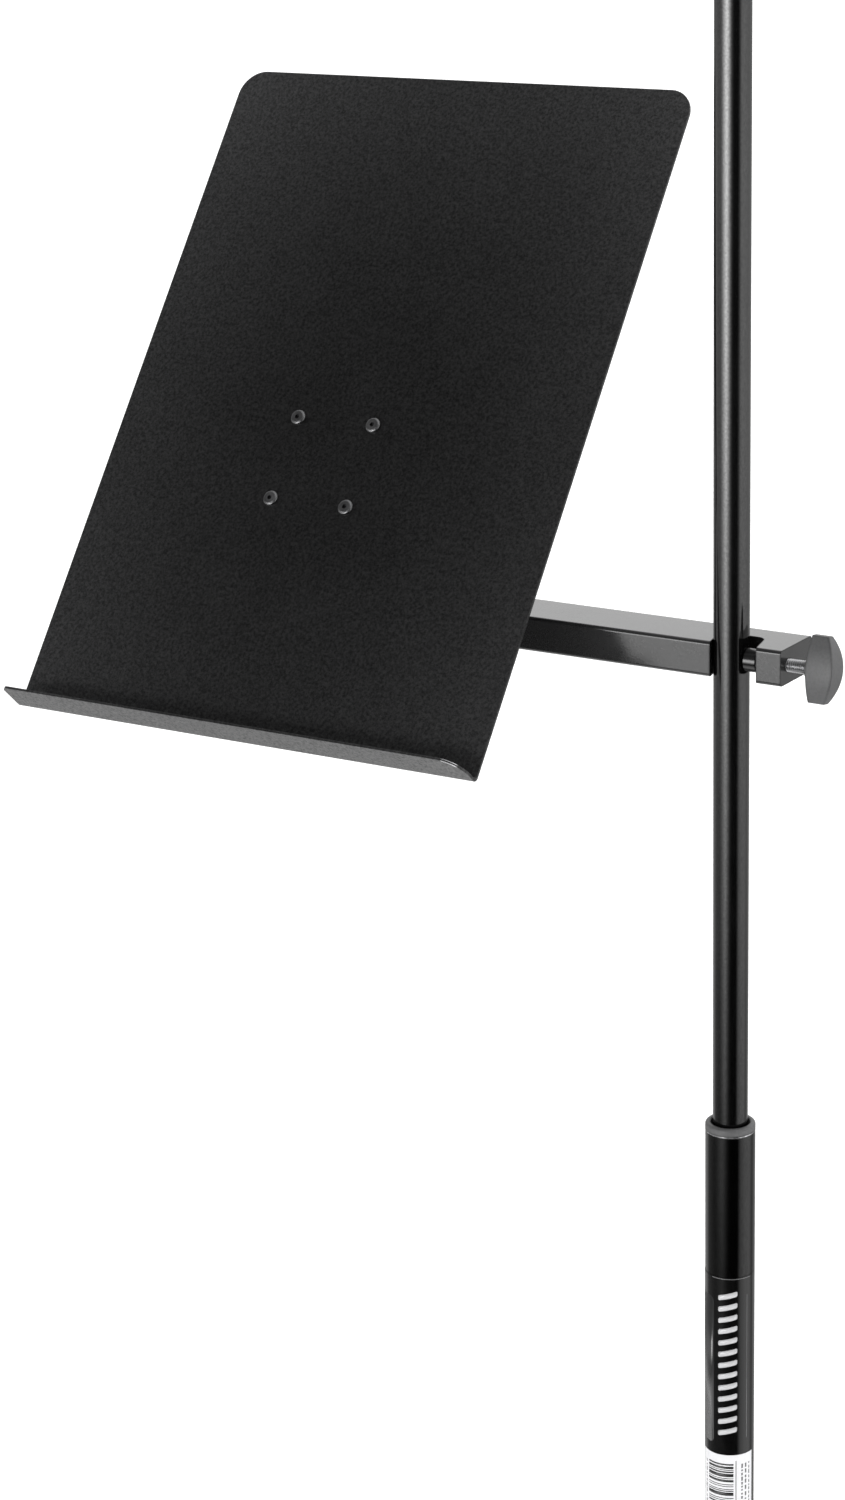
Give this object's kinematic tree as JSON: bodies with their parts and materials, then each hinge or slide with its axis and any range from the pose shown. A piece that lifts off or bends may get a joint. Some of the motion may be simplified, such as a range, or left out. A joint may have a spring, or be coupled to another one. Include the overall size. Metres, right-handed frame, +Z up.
{
  "type": "music stand",
  "caption": "Music stand: a tilting sheet-metal desk with a lip on a clamp arm, held on a telescoping upright with a twist clutch and a round weighted base.",
  "frame": {"origin": "middle of the underside of the base pad, on the upright's axis, at floor level", "axes": "+Z up the upright; +X along the arm towards its clamp knob, so the desk lies on the -X side; the reader sits on the -Y side"},
  "size_m": [0.4565, 0.254, 1.4],
  "materials": {
    "desk_black": "fine textured powder coat, near black",
    "arm_black": "satin black enamel",
    "tube_black": "gloss black enamel",
    "cast_base": "black powder coat over a cast surface",
    "rivet": "black zinc, semi-gloss",
    "steel": "zinc plated",
    "plastic_grey_dark": "moulded, fine sparked texture",
    "plastic_grey": "moulded, matte",
    "plastic_black": "moulded, matte",
    "nylon": "natural, semi-matte",
    "rubber": "foam rubber, matte",
    "fibre": "pressed fibre",
    "label_dark": "printed film, gloss",
    "label_white": "printed film, semi-gloss"
  },
  "bodies": {
    "base": {"base_pad": "rubber", "base_casting": "cast_base", "base_nut": "steel", "base_washer": "steel", "foot_plug": "steel", "foot_ferrule": "plastic_black", "lower_tube": "tube_black", "tube_label": "label_dark", "code_label": "label_white", "clutch_ferrule": "steel", "clutch_collet": "nylon"},
    "clutch": {"clutch_sleeve": "tube_black", "collar_bush": "plastic_grey"},
    "slide_bush": {"guide_bush": "nylon"},
    "upright": {"bush_clip": "steel", "tail_cap": "plastic_black", "upper_tube": "tube_black", "top_stud": "steel"},
    "arm": {"arm_tube": "arm_black", "clamp_insert": "arm_black", "tilt_insert": "arm_black", "friction_washer": "fibre"},
    "clamp_pad": {"pressure_pad": "plastic_black"},
    "clamp_screw": {"clamp_screw": "steel", "clamp_knob": "plastic_grey_dark"},
    "desk": {"tilt_bracket": "arm_black", "desk_rivets": "rivet", "desk_panel": "desk_black"},
    "tilt_washer": {"tilt_washer": "steel"},
    "tilt_knob": {"tilt_screw": "steel", "tilt_knob": "plastic_grey_dark"}
  },
  "joints": [
    {"name": "clutch_turn", "type": "hinge", "parent": "base", "child": "clutch", "pos_m": [0, 0, 0.8], "axis": [0, 0, 1], "range_deg": [0, 90]},
    {"name": "height_slide", "type": "slide", "parent": "base", "child": "slide_bush", "axis": [0, 0, 1], "range_m": [-0.11, 0.14]},
    {"name": "upright_swivel", "type": "hinge", "parent": "slide_bush", "child": "upright", "pos_m": [0, 0, 0.9], "axis": [0, 0, 1], "continuous": true},
    {"name": "arm_slide", "type": "slide", "parent": "upright", "child": "arm", "axis": [0, 0, 1], "range_m": [-0.09, 0.26]},
    {"name": "clamp_travel", "type": "slide", "parent": "arm", "child": "clamp_pad", "axis": [1, 0, 0], "range_m": [0, 0.00201]},
    {"name": "clamp_turn", "type": "hinge", "parent": "clamp_pad", "child": "clamp_screw", "pos_m": [0.03, 0, 1.05], "axis": [1, 0, 0], "range_deg": [0, 720]},
    {"name": "desk_tilt", "type": "hinge", "parent": "arm", "child": "desk", "pos_m": [-0.18, 0.007, 1.05], "axis": [1, 0, 0], "range_deg": [-50, 35]},
    {"name": "tilt_lock_travel", "type": "slide", "parent": "arm", "child": "tilt_washer", "axis": [-1, 0, 0], "range_m": [0, 0.00101]},
    {"name": "tilt_lock_turn", "type": "hinge", "parent": "tilt_washer", "child": "tilt_knob", "pos_m": [-0.19, 0.007, 1.05], "axis": [-1, 0, 0], "range_deg": [0, 360]}
  ],
  "couplings": [
    {"joint": "clamp_travel", "follows": "clamp_turn", "m_per_rad": 0.00015915},
    {"joint": "tilt_lock_travel", "follows": "tilt_lock_turn", "m_per_rad": 0.00015915}
  ]
}
